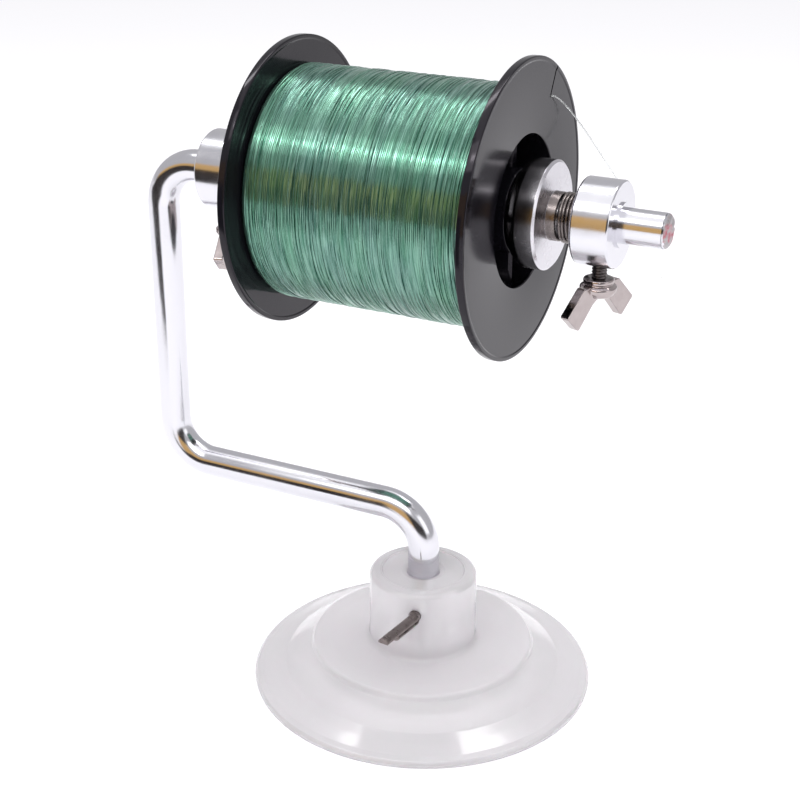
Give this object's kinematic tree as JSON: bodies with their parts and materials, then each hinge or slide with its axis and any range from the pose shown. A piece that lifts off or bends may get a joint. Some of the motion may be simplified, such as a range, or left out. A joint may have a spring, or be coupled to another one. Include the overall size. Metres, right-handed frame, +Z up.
{
  "type": "fishing line spool stand",
  "caption": "Suction-cup bench stand with a bent aluminium rod that holds a spool of fishing line between sprung cones and wing-screw collars.",
  "frame": {"origin": "centre of the suction cup's foot, on the surface that the stand is stuck to", "axes": "+Z up, +X along the axle towards its free end, +Y to the back, square to the plane of the bent rod"},
  "size_m": [0.1352, 0.087, 0.1605],
  "materials": {
    "clear_pvc": "soft clear PVC, slightly milky, glossy",
    "polished_rod": "polished drawn aluminium",
    "pin_steel": "dark steel wire",
    "black_plastic": "glossy black moulded plastic",
    "green_line": "glossy green nylon line, closely wound",
    "green_line_end": "single strand of clear green nylon line",
    "turned_aluminium": "turned and polished aluminium",
    "collar_aluminium": "satin turned aluminium",
    "spring_steel": "bright spring wire",
    "nickel_screw": "dark nickel plate"
  },
  "bodies": {
    "stand": {"suction_cup": "clear_pvc", "rod": "polished_rod", "split_pin": "pin_steel"},
    "spool": {"spool": "black_plastic", "line_winding": "green_line", "line_tail": "green_line_end"},
    "outer_collar": {"outer_collar": "collar_aluminium", "outer_spring": "spring_steel"},
    "outer_cone": {"outer_cone": "turned_aluminium"},
    "outer_wing_screw": {"outer_wing_screw": "nickel_screw"},
    "inner_collar": {"inner_collar": "collar_aluminium", "inner_spring": "spring_steel"},
    "inner_cone": {"inner_cone": "turned_aluminium"},
    "inner_wing_screw": {"inner_wing_screw": "nickel_screw"}
  },
  "joints": [
    {"name": "spool_spin", "type": "hinge", "parent": "stand", "child": "spool", "pos_m": [-0.006, 0, 0.1265], "axis": [1, 0, 0], "continuous": true},
    {"name": "outer_collar_slide", "type": "slide", "parent": "stand", "child": "outer_collar", "axis": [1, 0, 0], "range_m": [0, 0.01]},
    {"name": "outer_cone_slide", "type": "slide", "parent": "outer_collar", "child": "outer_cone", "axis": [1, 0, 0], "range_m": [0, 0.0007], "stiffness_N_per_m": 1500, "deforming": ["outer_spring"]},
    {"name": "outer_screw_turn", "type": "hinge", "parent": "outer_collar", "child": "outer_wing_screw", "pos_m": [0.04175, 0, 0.11675], "axis": [0, 0, 1], "range_deg": [0, 360]},
    {"name": "inner_collar_slide", "type": "slide", "parent": "stand", "child": "inner_collar", "axis": [-1, 0, 0], "range_m": [0, 0.0035]},
    {"name": "inner_cone_slide", "type": "slide", "parent": "inner_collar", "child": "inner_cone", "axis": [-1, 0, 0], "range_m": [0, 0.0007], "stiffness_N_per_m": 1500, "deforming": ["inner_spring"]},
    {"name": "inner_screw_turn", "type": "hinge", "parent": "inner_collar", "child": "inner_wing_screw", "pos_m": [-0.05375, 0, 0.11675], "axis": [0, 0, 1], "range_deg": [0, 360]}
  ]
}
